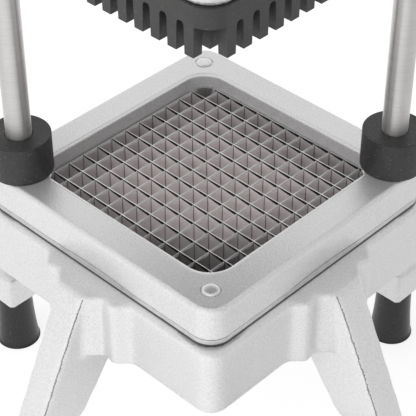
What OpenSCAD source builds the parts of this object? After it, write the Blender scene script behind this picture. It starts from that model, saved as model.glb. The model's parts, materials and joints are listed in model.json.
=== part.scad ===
/* [Cutting grid] */
// Width of one cut, from blade centre to blade centre
cut_pitch = 9.525; // [8:0.005:12]
// Number of cuts along each side of the grid
cut_count = 12; // [10:2:14]
// Thickness of a blade strip
blade_t = 0.5; // [0.4:0.05:0.8]
// Height of a blade strip
blade_h = 18; // [16:0.5:20]
// Height of the ground bevel on a blade's cutting edge
blade_bevel = 1.2; // [0.8:0.1:2]
// Drop of the crossing set's cutting edges below the top set's
blade_step = 0.4; // [0.2:0.1:0.8]

/* [Clamp ring] */
// Height of the ring that holds the grid down
ring_h = 17.5; // [15:0.5:22]
// Width of the ring's band beside its opening
ring_band = 17.3; // [15:0.1:22]
// Gap between the outermost blade's centre and the opening
opening_gap = 1.05; // [0.8:0.05:1.5]
// Radius of the opening's corners
opening_r = 13.4; // [12:0.1:14]
// Radius of the ring's outer corners
ring_r = 11; // [10:0.5:18]
// Depth of the grid's edges below the ring's top
grid_sink = 8; // [6:0.5:10]
// Radius of the ball that cuts a finger scoop
scoop_r = 262; // [80:1:300]
// Depth of that ball's dish in the plane of the wall
scoop_dish = 1.9; // [1.5:0.05:6]
// Depth of the dish's centre below the ring
scoop_drop = 20.7; // [18:0.1:24]

/* [Blade frame] */
// Thickness of the flange between ring and base
flange_t = 2.5; // [2:0.1:4]
// Thickness of the wall that holds the blade ends
skirt_t = 5; // [4.5:0.1:7]
// Depth of that wall below the flange
skirt_h = 12; // [9:0.5:14]
// Depth of a blade's end in its slot
tab_l = 3; // [2:0.1:4]

/* [Base casting] */
// Height of the base wall
wall_h = 37.3; // [28:0.1:45]
// Thickness of the base wall
wall_t = 5; // [4:0.1:6]
// Thickness of the deck that carries the grid
deck_t = 10.3; // [6:0.1:12]
// Width of the ledge outside the ring
ledge_w = 3.2; // [2:0.1:5]
// Radius of the base wall's corners
base_r = 9; // [8:0.5:18]
// Height of the raised seat on the deck
seat_h = 1.7; // [1.5:0.1:6]
// Depth of the seat's edge inside the ring's edge
seat_inset = 1.5; // [1:0.1:3]
// Radius of the bosses under the deck
boss_r = 11; // [10.5:0.1:12]
// Length of the bosses under the deck
boss_h = 12; // [10:0.5:14]

/* [Legs] */
// Height from the top of a foot to the bottom of the base wall
leg_drop = 99; // [80:1:140]
// Thickness of a leg's two flanges
leg_t = 5; // [4:0.1:7]
// Half the width of a leg at its root
root_half = 8.7; // [8:0.1:9.5]
// Reach of a leg's root out from the base wall
root_out = 11.3; // [10:0.1:13]
// Depth of a leg's inner flange at its root
root_depth = 27; // [24:0.5:28]
// Drop from the ledge to a leg's knee
knee_drop = 77; // [65:1:85]
// Reach of a leg from its root to its knee
knee_out = 31; // [26:0.5:36]
// Sideways shift of a leg from its root to its knee
knee_shift = 4.35; // [2:0.05:7]
// Half the width of a leg at its knee
knee_half = 8.55; // [7.5:0.05:9.5]
// Depth of a leg's inner flange at its knee
knee_depth = 32.6; // [27:0.1:37]
// Depth of that flange where it leaves the base wall
brow_depth = 42; // [36:0.5:46]
// Splay of a foot along the line of the guide rods
splay_x = 49.3; // [40:0.1:54]
// Splay of a foot from front to back
splay_y = 23; // [18:0.1:30]
// Width of the square block over a foot
ankle_w = 23.4; // [21:0.1:27]
// Height of the square block over a foot
ankle_h = 20; // [16:0.5:26]
// Radius of that block's corners
ankle_r = 3; // [2:0.1:5]

/* [Wall pads] */
// Half the width of the pad at the wall
pad_half = 28; // [25:0.1:32]
// Half the width of the pad at its shoulders
shoulder_half = 21.7; // [19:0.1:24]
// Reach of the shoulders out from the wall
shoulder_out = 6.9; // [5.5:0.1:8.5]
// Half the distance between the two grooves beside a leg
groove_half = 14.9; // [12.5:0.1:17]
// Reach of the grooves' floor out from the wall
groove_out = 5.2; // [4:0.1:5.4]

/* [Feet] */
// Height of a rubber foot
foot_h = 36; // [30:0.5:42]
// Radius of a foot at its top
foot_top_r = 10.5; // [9:0.1:11.5]
// Radius of a foot at its bottom
foot_bottom_r = 12.6; // [11:0.1:14]
// Reach of the thin rim round a foot's bottom
foot_rim = 0.4; // [0.2:0.1:1]
// Height of that rim
foot_rim_h = 1.2; // [0.8:0.1:2.5]

/* [Guide rods] */
// Diameter of a guide rod
rod_d = 12.5; // [12:0.1:13]
// Distance of a rod's axis outside the opening's side
rod_inset = 4.24; // [4:0.01:5]
// Radius of a rubber bumper
bumper_r = 15.3; // [14:0.1:17]
// Height of a rubber bumper
bumper_h = 20.2; // [18:0.1:26]
// Upward travel of the head from rest to the stops
up_travel = 33; // [15:1:60]

/* [Push head] */
// Height of the block's teeth above the grid at rest
tooth_rise = 114.6; // [90:0.1:140]
// Depth that the teeth reach into the grid at the bottom
tooth_dip = 7.6; // [4:0.1:9]
// Length of the block's teeth
tooth_l = 14.5; // [12:0.1:17]
// Width of a slot between teeth at its mouth
slot_mouth = 4.6; // [4.3:0.1:5]
// Width of a slot between teeth at its root
slot_root = 3.9; // [3.6:0.1:4.2]
// Height of the block's body over its teeth
block_body_h = 9.1; // [8:0.1:14]
// Gap between the block's side and the opening
block_gap = 3.4; // [2:0.1:4]
// Radius of the block's corners
block_r = 10; // [8:0.5:12]
// Thickness of the head plate
plate_t = 8; // [6:0.5:10]
// Depth of the head plate's side inside the block's side
plate_inset = 1; // [0.5:0.1:2]
// Radius of the head plate's corners
plate_r = 12; // [10:0.5:14]
// Height of the rim round the head plate
rim_h = 5; // [3:0.5:8]
// Width of that rim
rim_w = 4; // [3:0.5:5]
// Radius of a guide sleeve
sleeve_r = 14; // [13:0.1:15]
// Length of a guide sleeve with its bushings' flanges
sleeve_h = 60; // [54:1:70]
// Thickness of the web between the sleeves
web_t = 18; // [14:0.5:20]

/* [Handle] */
// Radius of the handle bar
bar_r = 8; // [7:0.1:8.5]
// Forward lean of the handle in degrees
handle_lean = 26; // [20:1:32]
// Half the width of the handle
handle_half = 62; // [59:0.5:63]
// Length of the handle from the web to its crossbar
handle_l = 108; // [95:1:115]
// Bend radius of the handle bar
bend_r = 20; // [18:0.5:26]
// Radius of the handle's grip
grip_r = 14; // [12:0.5:16]

/* [Hidden] */
$fn = 64;
ball_steps = 160;

// Clearances and the overrun that every cut shares
overrun = 1;
screw_fit = 0.05;
running_fit = 0.05;
rod_fit = 0.1;
blade_fit = 0.03;
seat_fit = 0.4;
face_fit = 0.1;
root2 = sqrt(2);

// Plan sizes, as half sides of the square that stands on its corner
grid_half = cut_pitch * cut_count / 2;
opening_half = grid_half + opening_gap;
ring_half = opening_half + ring_band;
base_half = ring_half + ledge_w;
seat_half = ring_half - seat_inset;
seat_r = ring_r - seat_inset;
cavity_half = base_half - wall_t;
cavity_r = base_r - wall_t;
line_max = cut_count / 2 - 1;

// The last strips end where the opening's round corners leave them room
edge_face = grid_half + blade_t / 2 + face_fit;
arc_at = opening_half - opening_r;
edge_blade_half = arc_at + sqrt(pow(opening_r, 2) - pow(edge_face - arc_at, 2));

// Heights, from the floor up
wall_bottom_z = foot_h + leg_drop;
ledge_z = wall_bottom_z + wall_h;
seat_z = ledge_z + seat_h;
flange_top_z = seat_z + flange_t;
ring_top_z = flange_top_z + ring_h;
grid_top_z = ring_top_z - grid_sink;
grid_bottom_z = grid_top_z - blade_h;
grid_mid_z = grid_top_z - blade_h / 2;
deck_bottom_z = ledge_z - deck_t;
boss_bottom_z = deck_bottom_z - boss_h;
bumper_top_z = ring_top_z + bumper_h;
tip_z = grid_top_z + tooth_rise;
block_body_z = tip_z + tooth_l;
block_top_z = block_body_z + block_body_h;
plate_top_z = block_top_z + plate_t;
sleeve_bottom_z = bumper_top_z + tooth_rise + tooth_dip;
sleeve_top_z = sleeve_bottom_z + sleeve_h;
stop_z = sleeve_top_z + up_travel;

// Rod and stud places, along X and along Y
rod_r = rod_d / 2;
rod_x = root2 * (opening_half + rod_inset);
bumper_clear = 0.5;
bumper_side = rod_x - bumper_r - bumper_clear;
stud_inset = 4.7;
stud_y = root2 * (opening_half + stud_inset);
rod_bore_r = rod_r + rod_fit;
thread_r = 5;
thread_bore_r = thread_r + screw_fit;
shoulder_z = deck_bottom_z;
nut_across_r = 9.8;
nut_h = 8;
rod_washer_r = 10.5;
rod_washer_t = 2;
rod_end_gap = 1.5;
stud_r = 3.3;
stud_bore_r = stud_r + screw_fit;
stud_dome_h = 1.1;
stud_rim_r = 4.8;
stud_rim_h = 1.2;
stud_collar_h = 0.6;
thumb_r = 8;
thumb_h = 9;
thumb_flutes = 16;
flute_r = 0.9;
stud_end_gap = 1.5;

// Blade frame in plan, with the base's well for it kept clear of the rods
frame_gap = 0.05;
frame_half = grid_half + blade_t / 2 + frame_gap;
frame_r = frame_half - edge_blade_half - frame_gap;
well_wall = 1;
well_side = rod_x - rod_bore_r - well_wall;
skirt_half = frame_half + skirt_t;
well_half = skirt_half + seat_fit;
well_r = (root2 * well_half - well_side) / (root2 - 1);
skirt_r = well_r - seat_fit;
slot_w = blade_t + 2 * blade_fit;
blade_reach = frame_half + tab_l - face_fit;
blade_inner_reach = grid_half - blade_t / 2 - blade_fit;

// Feet in plan, and the screws that hold them
root_d = base_half + root_out;
foot_x = root_d / root2 + splay_x;
foot_y = root_d / root2 + splay_y;
foot_d = (foot_x + foot_y) / root2;
foot_t = (foot_y - foot_x) / root2;
foot_screw_r = 3;
foot_bore_r = foot_screw_r + screw_fit;
foot_head_r = 5.5;
foot_head_h = 3.6;
foot_recess_r = 7;
foot_floor_share = 0.6;
foot_floor_z = foot_h * foot_floor_share;
foot_washer_t = 1.2;
foot_screw_top_z = foot_h + ankle_h - 2 * foot_screw_r;

// Leg sections, from the ledge down to the block over the foot
ankle_half = ankle_w / 2;
ankle_inset = 2.2;

// Block and head details
block_half = opening_half - block_gap;
plate_half = block_half - plate_inset;
arch_side_share = 0.3;
arch_rise_share = 0.35;
block_screw_share = 0.65;
block_screw_at = block_half * block_screw_share;
block_screw_r = 2.5;
block_bore_r = block_screw_r + screw_fit;
block_head_r = 4.75;
block_head_h = 3.2;
block_washer_r = 6;
block_washer_t = 1;
screw_depth_share = 0.7;
block_screw_l = block_body_h * screw_depth_share;
bush_r = 9;
bush_bore_r = rod_r + running_fit;
bush_flange_r = 12;
bush_flange_t = 2;
bush_l = 22;
web_top_share = 0.3;
web_foot_inset = 6;
web_h = 18;
web_end_h = 38;
web_root = 4;
rib_t = 8;
socket_r = 13;
socket_l = 34;
socket_root = 6;
socket_z = plate_top_z + web_h;
sleeve_clear = 4;
leg_to_rod = sleeve_r + bar_r + sleeve_clear;
socket_y = -sqrt(max(0, pow(leg_to_rod, 2) - pow(rod_x - handle_half, 2)));
set_screw_r = 3;
set_screw_l = 6;
set_screw_at = 22;
set_key_r = 1.5;
set_key_depth = 3;
grip_groove_r = 0.9;
grip_grooves = 8;
grip_end = 2;
stop_washer_r = 13;
stop_washer_t = 3;
cap_hex_h = 7;
cap_dome_r = 8;

// A square with round corners, given by half its side
module round_square(half, r) {
    square([2 * half, 2 * (half - r)], center = true);
    square([2 * (half - r), 2 * half], center = true);
    for (x = [-1, 1], y = [-1, 1])
        translate([x * (half - r), y * (half - r)]) circle(r);
}

// A block of that outline, set on its corner as the grid is
module diamond(half, r, bottom_z, top_z) {
    translate([0, 0, bottom_z]) rotate([0, 0, 45])
        linear_extrude(top_z - bottom_z) round_square(half, r);
}

// An upright cylinder from one height to another
module post(r, bottom_z, top_z) {
    translate([0, 0, bottom_z]) cylinder(r = r, h = top_z - bottom_z);
}

module at_rods() {
    for (x = [-rod_x, rod_x]) translate([x, 0, 0]) children();
}

module at_studs() {
    for (y = [-stud_y, stud_y]) translate([0, y, 0]) children();
}

// Copies of the front left quarter to all four quarters
module quarters() {
    for (x = [0, 1], y = [0, 1]) mirror([x, 0, 0]) mirror([0, y, 0]) children();
}

// Out from the front left side along X, and along that side on Y
module front_left_side() {
    rotate([0, 0, 225]) children();
}

// A rectangle at one height, from its inner and outer face and its two sides
function section(outer, inner, low, high, z) = [
    [outer, low, z], [outer, high, z], [inner, high, z], [inner, low, z]];

// A solid through a stack of sections, the highest first
module loft(rings) {
    n = len(rings[0]);
    last = len(rings) - 1;
    points = [for (ring = rings) each ring];
    top = [for (i = [n - 1:-1:0]) i];
    bottom = [for (i = [0:n - 1]) last * n + i];
    upper = [for (k = [0:last - 1], i = [0:n - 1])
        [k * n + i, k * n + (i + 1) % n, (k + 1) * n + (i + 1) % n]];
    lower = [for (k = [0:last - 1], i = [0:n - 1])
        [k * n + i, (k + 1) * n + (i + 1) % n, (k + 1) * n + i]];
    polyhedron(points, concat([top], [bottom], upper, lower));
}

// A leg's four stages: outer face, depth, middle, half width and height
module leg() {
    brow_share = wall_h / knee_drop;
    brow_half = root_half + (knee_half - root_half) * brow_share;
    stages = [
        [root_d, root_depth, 0, root_half, ledge_z],
        [root_d + knee_out * brow_share, brow_depth, -knee_shift * brow_share, brow_half, wall_bottom_z],
        [root_d + knee_out, knee_depth, -knee_shift, knee_half, ledge_z - knee_drop],
        [foot_d + ankle_half, ankle_w - ankle_inset, foot_t + ankle_inset / 2,
         ankle_half - ankle_inset / 2, foot_h + ankle_h / 2]];
    difference() {
        loft([for (s = stages) section(s[0], s[0] - s[1], s[2] - s[3], s[2] + s[3], s[4])]);
        loft([for (s = stages) section(s[0] - leg_t, s[0] - s[1] - overrun,
                                       s[2] - s[3] - overrun, s[2] + s[3] - leg_t, s[4])]);
    }
    translate([foot_d, foot_t, foot_h])
        linear_extrude(ankle_h) round_square(ankle_half, ankle_r);
}

module wall_pad() {
    inner = base_half - wall_t / 2;
    translate([0, 0, wall_bottom_z]) linear_extrude(wall_h) polygon([
        [inner, -pad_half], [base_half, -pad_half],
        [base_half + shoulder_out, -shoulder_half], [base_half + groove_out, -groove_half],
        [root_d, -root_half], [root_d, root_half],
        [base_half + groove_out, groove_half], [base_half + shoulder_out, shoulder_half],
        [base_half, pad_half], [inner, pad_half]]);
}

module base_casting() {
    color([0.80, 0.80, 0.80]) difference() {
        union() {
            difference() {
                union() {
                    diamond(base_half, base_r, wall_bottom_z, ledge_z);
                    diamond(seat_half, seat_r, ledge_z, seat_z);
                    quarters() front_left_side() {
                        wall_pad();
                        leg();
                    }
                }
                diamond(cavity_half, cavity_r, wall_bottom_z - overrun, deck_bottom_z);
            }
            at_rods() post(boss_r, boss_bottom_z, ledge_z);
            at_studs() post(boss_r, boss_bottom_z, ledge_z);
        }
        diamond(well_half, well_r, boss_bottom_z - overrun, seat_z + overrun);
        at_rods() {
            post(rod_bore_r, shoulder_z, seat_z + overrun);
            post(thread_bore_r, boss_bottom_z - overrun, shoulder_z + overrun);
        }
        at_studs() post(stud_bore_r, boss_bottom_z - overrun, seat_z + overrun);
        quarters() translate([-foot_x, -foot_y, 0])
            post(foot_bore_r, foot_h - overrun, foot_screw_top_z + foot_screw_r);
    }
}

// The slots that take the blades' ends, along one direction
module end_slots() {
    reach = blade_reach + face_fit;
    for (k = [-line_max:line_max])
        translate([-reach, k * cut_pitch - slot_w / 2, grid_bottom_z])
            cube([2 * reach, slot_w, flange_top_z + overrun - grid_bottom_z]);
}

module blade_frame() {
    color([0.84, 0.84, 0.84]) difference() {
        union() {
            diamond(ring_half, ring_r, seat_z, flange_top_z);
            diamond(skirt_half, skirt_r, seat_z - skirt_h, flange_top_z);
        }
        diamond(frame_half, frame_r, seat_z - skirt_h - overrun, flange_top_z + overrun);
        rotate([0, 0, 45]) {
            end_slots();
            rotate([0, 0, 90]) end_slots();
        }
        at_rods() post(rod_bore_r, seat_z - overrun, flange_top_z + overrun);
        at_studs() post(stud_bore_r, seat_z - overrun, flange_top_z + overrun);
    }
}

// A strip's outline, seen from its side, with slots for the strips that cross it
module strip_outline(crossing, top_z, slot_low, slot_high) {
    difference() {
        union() {
            if (crossing) {
                translate([-blade_reach, grid_bottom_z])
                    square([2 * blade_reach, flange_top_z - face_fit - grid_bottom_z]);
                translate([-blade_inner_reach, grid_bottom_z])
                    square([2 * blade_inner_reach, top_z - grid_bottom_z]);
            } else {
                translate([-edge_blade_half, grid_bottom_z])
                    square([2 * edge_blade_half, top_z - grid_bottom_z]);
            }
        }
        for (k = [-line_max:line_max]) translate([k * cut_pitch - slot_w / 2, slot_low])
            square([slot_w, slot_high - slot_low]);
        if (crossing) for (s = [-1, 1])
            translate([s * grid_half - slot_w / 2, grid_mid_z - blade_fit])
                square([slot_w, blade_h]);
    }
}

// One strip along X, with its cutting edge ground on the side that faces -Y
module strip(crossing, top_z, slot_low, slot_high) {
    reach = blade_reach + overrun;
    intersection() {
        translate([0, blade_t / 2, 0]) rotate([90, 0, 0]) linear_extrude(blade_t)
            strip_outline(crossing, top_z, slot_low, slot_high);
        translate([-reach, 0, 0]) rotate([90, 0, 90]) linear_extrude(2 * reach) polygon([
            [-blade_t / 2, grid_bottom_z], [blade_t / 2, grid_bottom_z],
            [blade_t / 2, top_z], [-blade_t / 2, top_z - blade_bevel]]);
    }
}

// The strips that run from the front left side to the back right one
module blades_lower_set() {
    color([0.62, 0.59, 0.59]) rotate([0, 0, 45]) {
        for (k = [-line_max:line_max]) translate([0, k * cut_pitch, 0])
            strip(true, grid_top_z - blade_step, grid_mid_z - blade_fit, grid_top_z + overrun);
        for (s = [-1, 1]) translate([0, s * grid_half, 0])
            strip(false, grid_top_z - blade_step, grid_bottom_z - overrun, grid_mid_z + blade_fit);
    }
}

// The strips that cross them from the front right side to the back left one
module blades_upper_set() {
    color([0.70, 0.68, 0.68]) rotate([0, 0, -45]) {
        for (k = [-line_max:line_max]) translate([0, k * cut_pitch, 0])
            strip(true, grid_top_z, grid_bottom_z - overrun, grid_mid_z + blade_fit);
        for (s = [-1, 1]) translate([0, s * grid_half, 0])
            strip(false, grid_top_z, grid_bottom_z - overrun, grid_mid_z + blade_fit);
    }
}

module clamp_ring() {
    color([0.86, 0.86, 0.86]) difference() {
        diamond(ring_half, ring_r, flange_top_z, ring_top_z);
        diamond(opening_half, opening_r, flange_top_z - overrun, ring_top_z + overrun);
        for (k = [0:3]) rotate([0, 0, 45 + 90 * k])
            translate([ring_half + scoop_r - scoop_dish, 0, flange_top_z - scoop_drop]) sphere(scoop_r, $fn = ball_steps);
        at_rods() post(rod_bore_r, flange_top_z - overrun, ring_top_z + overrun);
        at_studs() {
            post(stud_bore_r, flange_top_z - overrun, ring_top_z + overrun);
            post(stud_rim_r, ring_top_z - stud_rim_h, ring_top_z + overrun);
        }
    }
}

module guide_rod(x) {
    rod_foot_z = boss_bottom_z - rod_washer_t - nut_h - rod_end_gap;
    rod_head_z = stop_z + stop_washer_t + cap_hex_h;
    color([0.78, 0.78, 0.78]) translate([x, 0, 0]) {
        post(rod_r, shoulder_z, stop_z);
        post(thread_r, rod_foot_z, shoulder_z + overrun);
        post(thread_r, stop_z - overrun, rod_head_z);
    }
}

module guide_rod_left() {
    guide_rod(-rod_x);
}

module guide_rod_right() {
    guide_rod(rod_x);
}

module bumper(x) {
    color([0.17, 0.17, 0.17]) translate([x, 0, 0]) difference() {
        post(bumper_r, ring_top_z, bumper_top_z);
        post(rod_bore_r, ring_top_z - overrun, bumper_top_z + overrun);
    }
}

module bumper_left() {
    bumper(-rod_x);
}

module bumper_right() {
    bumper(rod_x);
}

module rod_washers() {
    color([0.68, 0.68, 0.70]) at_rods() difference() {
        post(rod_washer_r, boss_bottom_z - rod_washer_t, boss_bottom_z);
        post(thread_bore_r, boss_bottom_z - rod_washer_t - overrun, boss_bottom_z + overrun);
    }
}

module rod_nuts() {
    nut_top_z = boss_bottom_z - rod_washer_t;
    color([0.70, 0.70, 0.72]) at_rods() difference() {
        translate([0, 0, nut_top_z - nut_h]) cylinder(r = nut_across_r, h = nut_h, $fn = 6);
        post(thread_bore_r, nut_top_z - nut_h - overrun, nut_top_z + overrun);
    }
}

module retaining_studs() {
    dome_r = (stud_r * stud_r + stud_dome_h * stud_dome_h) / (2 * stud_dome_h);
    stud_foot_z = boss_bottom_z - thumb_h - stud_end_gap;
    color([0.82, 0.82, 0.82]) at_studs() {
        post(stud_r, stud_foot_z, ring_top_z);
        post(stud_rim_r - screw_fit, ring_top_z - stud_rim_h, ring_top_z - stud_rim_h + stud_collar_h);
        intersection() {
            translate([0, 0, ring_top_z + stud_dome_h - dome_r]) sphere(dome_r);
            post(stud_r, ring_top_z - overrun, ring_top_z + 2 * stud_dome_h);
        }
    }
}

module thumb_nut(y) {
    thumb_top_z = boss_bottom_z - face_fit;
    color([0.72, 0.72, 0.74]) translate([0, y, 0]) difference() {
        post(thumb_r, thumb_top_z - thumb_h, thumb_top_z);
        post(stud_bore_r, thumb_top_z - thumb_h - overrun, thumb_top_z + overrun);
        for (k = [1:thumb_flutes]) rotate([0, 0, 360 * k / thumb_flutes]) translate([thumb_r, 0, 0])
            post(flute_r, thumb_top_z - thumb_h - overrun, thumb_top_z + overrun);
    }
}

module thumb_nut_front() {
    thumb_nut(-stud_y);
}

module thumb_nut_back() {
    thumb_nut(stud_y);
}

// A rubber foot, turned from its outline, with a recess for its screw
module foot(x, y) {
    color([0.13, 0.13, 0.13]) translate([x * foot_x, y * foot_y, 0]) difference() {
        union() {
            cylinder(r1 = foot_bottom_r, r2 = foot_top_r, h = foot_h);
            cylinder(r = foot_bottom_r + foot_rim, h = foot_rim_h);
        }
        post(foot_recess_r, -overrun, foot_floor_z);
        post(foot_bore_r, foot_floor_z - overrun, foot_h + overrun);
    }
}

module foot_front_left() {
    foot(-1, -1);
}

module foot_front_right() {
    foot(1, -1);
}

module foot_back_left() {
    foot(-1, 1);
}

module foot_back_right() {
    foot(1, 1);
}

module foot_washers() {
    color([0.70, 0.70, 0.72]) quarters() translate([-foot_x, -foot_y, 0]) difference() {
        post(foot_recess_r - rod_fit, foot_floor_z - foot_washer_t, foot_floor_z);
        post(foot_bore_r, foot_floor_z - foot_washer_t - overrun, foot_floor_z + overrun);
    }
}

module foot_screws() {
    head_top_z = foot_floor_z - foot_washer_t;
    color([0.70, 0.70, 0.72]) quarters() translate([-foot_x, -foot_y, 0]) difference() {
        union() {
            post(foot_head_r, head_top_z - foot_head_h, head_top_z);
            post(foot_screw_r, head_top_z - foot_head_h / 2, foot_screw_top_z);
        }
        translate([0, 0, head_top_z - foot_head_h - overrun])
            cylinder(r = foot_screw_r, h = foot_head_h / 2 + overrun, $fn = 6);
    }
}

// A slot between two rows of teeth, as it is seen from its end
module tooth_slot() {
    arch_low = tooth_l - slot_root * arch_rise_share;
    arch_half = slot_root * arch_side_share;
    polygon([
        [-slot_mouth / 2, 0], [-slot_mouth / 2, -overrun], [slot_mouth / 2, -overrun], [slot_mouth / 2, 0],
        [slot_root / 2, arch_low], [arch_half, tooth_l], [-arch_half, tooth_l], [-slot_root / 2, arch_low]]);
}

module tooth_slots() {
    reach = block_half + overrun;
    for (k = [-line_max:line_max]) translate([k * cut_pitch, reach, tip_z])
        rotate([90, 0, 0]) linear_extrude(2 * reach) tooth_slot();
}

// Room for the bumpers, which stand beside the block's corners at the bottom
module bumper_room(bottom_z, top_z) {
    at_rods() post(bumper_r + bumper_clear, bottom_z - overrun, top_z + overrun);
}

module push_block() {
    corner_at = line_max * cut_pitch - slot_root / 2;
    color([0.16, 0.16, 0.16]) difference() {
        diamond(block_half, block_r, tip_z, block_top_z);
        bumper_room(tip_z, block_top_z);
        rotate([0, 0, 45]) {
            tooth_slots();
            rotate([0, 0, 90]) tooth_slots();
            for (k = [0:3]) rotate([0, 0, 90 * k]) translate([corner_at, corner_at, tip_z - overrun])
                cube([block_half, block_half, tooth_l + overrun]);
            for (k = [0:3]) rotate([0, 0, 90 * k]) translate([block_screw_at, 0, 0])
                post(block_bore_r, block_top_z - block_screw_l - block_screw_r, block_top_z + overrun);
        }
    }
}

// The web that joins the head plate to the two sleeves, seen from the front
module web_outline() {
    low_z = plate_top_z - web_root;
    sleeve_low_z = sleeve_bottom_z + bush_flange_t;
    web_foot = bumper_side - web_foot_inset;
    polygon([
        [-rod_x, sleeve_low_z], [-bumper_side, sleeve_low_z], [-web_foot, low_z],
        [web_foot, low_z], [bumper_side, sleeve_low_z], [rod_x, sleeve_low_z],
        [rod_x, plate_top_z + web_end_h], [web_foot, plate_top_z + web_end_h],
        [rod_x * web_top_share, plate_top_z + web_h], [-rod_x * web_top_share, plate_top_z + web_h],
        [-web_foot, plate_top_z + web_end_h], [-rod_x, plate_top_z + web_end_h]]);
}

// Along the handle's leaning legs, from where they start beside the sleeves
module along_handle() {
    translate([0, socket_y, socket_z]) rotate([handle_lean, 0, 0]) children();
}

module push_head() {
    color([0.80, 0.80, 0.80]) difference() {
        union() {
            difference() {
                diamond(plate_half, plate_r, block_top_z, plate_top_z + rim_h);
                diamond(plate_half - rim_w, plate_r - rim_w, plate_top_z, plate_top_z + rim_h + overrun);
                bumper_room(block_top_z, plate_top_z + rim_h);
            }
            translate([0, web_t / 2, 0]) rotate([90, 0, 0]) linear_extrude(web_t) web_outline();
            translate([-rib_t / 2, -plate_half, plate_top_z - overrun])
                cube([rib_t, 2 * plate_half, overrun + rim_h]);
            at_rods() post(sleeve_r, sleeve_bottom_z + bush_flange_t, sleeve_top_z - bush_flange_t);
            along_handle() for (x = [-handle_half, handle_half]) translate([x, 0, 0])
                post(socket_r, -socket_root, socket_l);
        }
        at_rods() post(bush_r, sleeve_bottom_z, sleeve_top_z);
        along_handle() for (x = [-handle_half, handle_half]) translate([x, 0, 0])
            post(bar_r + screw_fit, -face_fit, socket_l + overrun);
        along_handle() for (s = [-1, 1])
            translate([s * (handle_half - socket_r - overrun), 0, set_screw_at]) rotate([0, s * 90, 0])
                cylinder(r = set_screw_r + screw_fit, h = socket_r + overrun);
        rotate([0, 0, 45]) for (k = [0:3]) rotate([0, 0, 90 * k]) translate([block_screw_at, 0, 0])
            post(block_bore_r, block_top_z - overrun, plate_top_z + overrun);
    }
}

module block_washers() {
    color([0.72, 0.72, 0.74]) rotate([0, 0, 45]) for (k = [0:3]) rotate([0, 0, 90 * k])
        translate([block_screw_at, 0, 0]) difference() {
            post(block_washer_r, plate_top_z, plate_top_z + block_washer_t);
            post(block_bore_r, plate_top_z - overrun, plate_top_z + block_washer_t + overrun);
        }
}

module block_screws() {
    head_z = plate_top_z + block_washer_t;
    color([0.70, 0.70, 0.72]) rotate([0, 0, 45]) for (k = [0:3]) rotate([0, 0, 90 * k])
        translate([block_screw_at, 0, 0]) difference() {
            union() {
                post(block_head_r, head_z, head_z + block_head_h);
                post(block_screw_r, block_top_z - block_screw_l, head_z + block_head_h / 2);
            }
            translate([0, 0, head_z + block_head_h / 2])
                cylinder(r = block_screw_r, h = block_head_h, $fn = 6);
        }
}

// A flanged bushing that stands up from its flange
module bushing() {
    difference() {
        union() {
            post(bush_r - screw_fit, 0, bush_l);
            post(bush_flange_r, 0, bush_flange_t);
        }
        post(bush_bore_r, -overrun, bush_l + overrun);
    }
}

module lower_bushing(x) {
    color([0.66, 0.52, 0.30]) translate([x, 0, sleeve_bottom_z]) bushing();
}

module upper_bushing(x) {
    color([0.66, 0.52, 0.30]) translate([x, 0, sleeve_top_z]) mirror([0, 0, 1]) bushing();
}

module bushing_left_lower() {
    lower_bushing(-rod_x);
}

module bushing_left_upper() {
    upper_bushing(-rod_x);
}

module bushing_right_lower() {
    lower_bushing(rod_x);
}

module bushing_right_upper() {
    upper_bushing(rod_x);
}

module handle_bar() {
    bend_at = handle_half - bend_r;
    color([0.78, 0.78, 0.78]) along_handle() {
        for (s = [-1, 1]) {
            translate([s * handle_half, 0, 0]) post(bar_r, 0, handle_l - bend_r);
            translate([s * bend_at, 0, handle_l - bend_r]) rotate([90, 0, 0])
                rotate([0, 0, s > 0 ? 0 : 90])
                    rotate_extrude(angle = 90) translate([bend_r, 0]) circle(bar_r);
        }
        translate([-bend_at, 0, handle_l]) rotate([0, 90, 0]) cylinder(r = bar_r, h = 2 * bend_at);
    }
}

module handle_grip() {
    grip_half = handle_half - bend_r;
    color([0.12, 0.12, 0.12]) along_handle() translate([-grip_half, 0, handle_l]) rotate([0, 90, 0])
        difference() {
            union() {
                cylinder(r1 = grip_r - grip_end, r2 = grip_r, h = grip_end);
                post(grip_r, grip_end, 2 * grip_half - grip_end);
                translate([0, 0, 2 * grip_half - grip_end])
                    cylinder(r1 = grip_r, r2 = grip_r - grip_end, h = grip_end);
            }
            post(bar_r + screw_fit, -overrun, 2 * grip_half + overrun);
            for (k = [1:grip_grooves]) translate([0, 0, 2 * grip_half * k / (grip_grooves + 1)])
                rotate_extrude() translate([grip_r, 0]) circle(grip_groove_r);
        }
}

module handle_set_screws() {
    inner = handle_half - bar_r - screw_fit - set_screw_l;
    color([0.35, 0.35, 0.36]) along_handle() for (s = [-1, 1])
        translate([s * inner, 0, set_screw_at]) rotate([0, s * 90, 0]) difference() {
            cylinder(r = set_screw_r, h = set_screw_l);
            translate([0, 0, -overrun]) cylinder(r = set_key_r, h = set_key_depth + overrun, $fn = 6);
        }
}

module stop_washers() {
    color([0.72, 0.72, 0.74]) at_rods() difference() {
        post(stop_washer_r, stop_z, stop_z + stop_washer_t);
        post(thread_bore_r, stop_z - overrun, stop_z + stop_washer_t + overrun);
    }
}

module cap_nuts() {
    cap_z = stop_z + stop_washer_t;
    bore_top_z = cap_z + cap_hex_h + face_fit;
    color([0.74, 0.74, 0.76]) at_rods() difference() {
        union() {
            translate([0, 0, cap_z]) cylinder(r = nut_across_r, h = cap_hex_h, $fn = 6);
            intersection() {
                translate([0, 0, cap_z + cap_hex_h]) sphere(cap_dome_r);
                post(cap_dome_r, cap_z + cap_hex_h / 2, cap_z + cap_hex_h + cap_dome_r);
            }
        }
        post(thread_bore_r, cap_z - overrun, bore_top_z);
    }
}

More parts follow.
